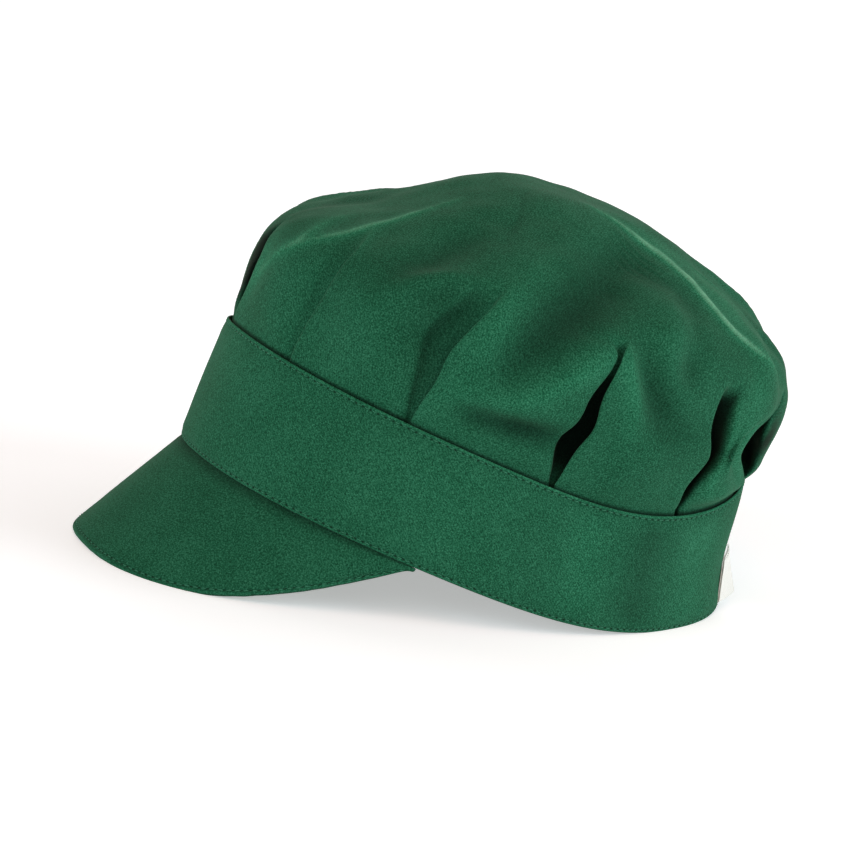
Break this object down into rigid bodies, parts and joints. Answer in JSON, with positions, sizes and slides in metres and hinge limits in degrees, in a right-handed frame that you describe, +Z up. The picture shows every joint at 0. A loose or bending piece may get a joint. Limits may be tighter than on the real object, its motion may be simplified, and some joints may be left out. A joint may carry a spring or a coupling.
{
  "type": "chef hat",
  "caption": "Cook's peaked cap: a puffy cloth crown pleated into a headband, with a short down-turned peak and a small blank woven label at the back.",
  "frame": {"origin": "centre of the bounding box at the surface that the cap rests on", "axes": "+Z up from that surface, -Y to the cap's front where the peak is, +X to the wearer's left"},
  "size_m": [0.1782, 0.2466, 0.1394],
  "materials": {
    "crown_cloth": "matte dark green twill",
    "band_cloth": "matte dark green twill",
    "peak_cloth": "matte dark green twill over a stiffener",
    "label_tape": "matte white woven tape"
  },
  "bodies": {
    "root": {"crown": "crown_cloth", "headband": "band_cloth", "peak": "peak_cloth", "label": "label_tape"}
  },
  "joints": []
}
